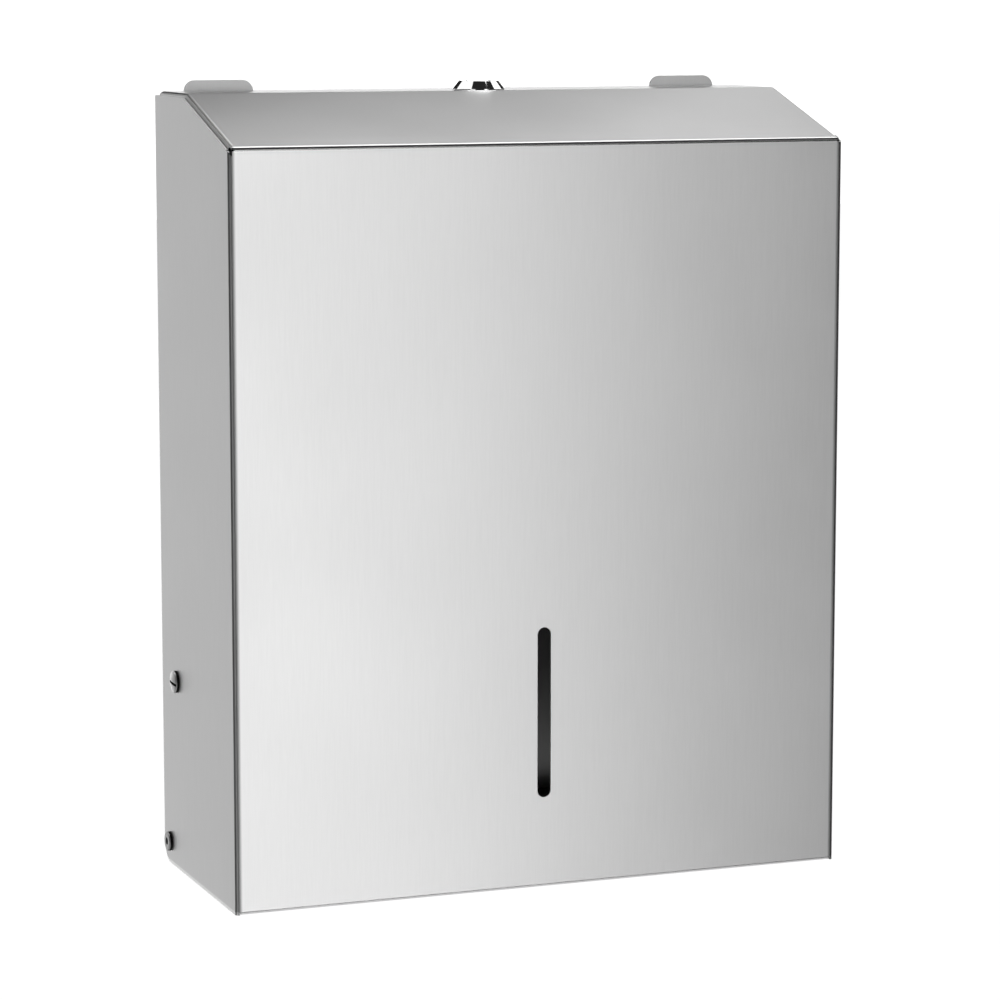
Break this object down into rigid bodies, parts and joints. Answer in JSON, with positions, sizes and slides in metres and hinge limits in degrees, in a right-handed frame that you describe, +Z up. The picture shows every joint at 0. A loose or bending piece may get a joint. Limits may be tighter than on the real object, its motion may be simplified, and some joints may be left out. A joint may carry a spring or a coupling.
{
  "type": "paper towel dispenser",
  "caption": "Wall-mounted dispenser for folded paper towels: a satin steel cover with a sloping top and a slot for the towel level tilts forward on a chassis, held by a cam lock.",
  "frame": {"origin": "centre of the four wall fixing holes, on the rear face of the back plate", "axes": "+Z up, +Y into the wall, +X to the right for someone who faces the dispenser"},
  "size_m": [0.2752, 0.1065, 0.3358],
  "materials": {
    "cover_steel": "satin, fine vertical grain",
    "chassis_steel": "satin",
    "bright_steel": "polished",
    "plain_steel": "plain zinc-plated",
    "nylon": "natural nylon"
  },
  "bodies": {
    "chassis": {"back_plate": "chassis_steel", "towel_tray": "chassis_steel", "lock_strike": "chassis_steel", "pivot_screw_left": "bright_steel", "pivot_screw_right": "bright_steel", "pivot_washers": "nylon", "pivot_nuts": "plain_steel"},
    "cover": {"cover_shell": "cover_steel", "lock_housing": "bright_steel", "lock_washer": "plain_steel", "lock_nut": "plain_steel", "stop_screw_left": "bright_steel", "stop_screw_right": "bright_steel", "stop_bushes": "nylon", "stop_washers": "plain_steel", "stop_nuts": "plain_steel"},
    "lock_barrel": {"lock_plug": "bright_steel", "lock_cam": "plain_steel", "cam_washer": "plain_steel", "cam_screw": "plain_steel"}
  },
  "joints": [
    {"name": "cover_hinge", "type": "hinge", "parent": "chassis", "child": "cover", "pos_m": [0, -0.0095, -0.1554], "axis": [1, 0, 0], "range_deg": [0, 50]},
    {"name": "lock_turn", "type": "hinge", "parent": "cover", "child": "lock_barrel", "pos_m": [0, -0.0295, 0.146], "axis": [0, 0, -1], "range_deg": [0, 90]}
  ]
}
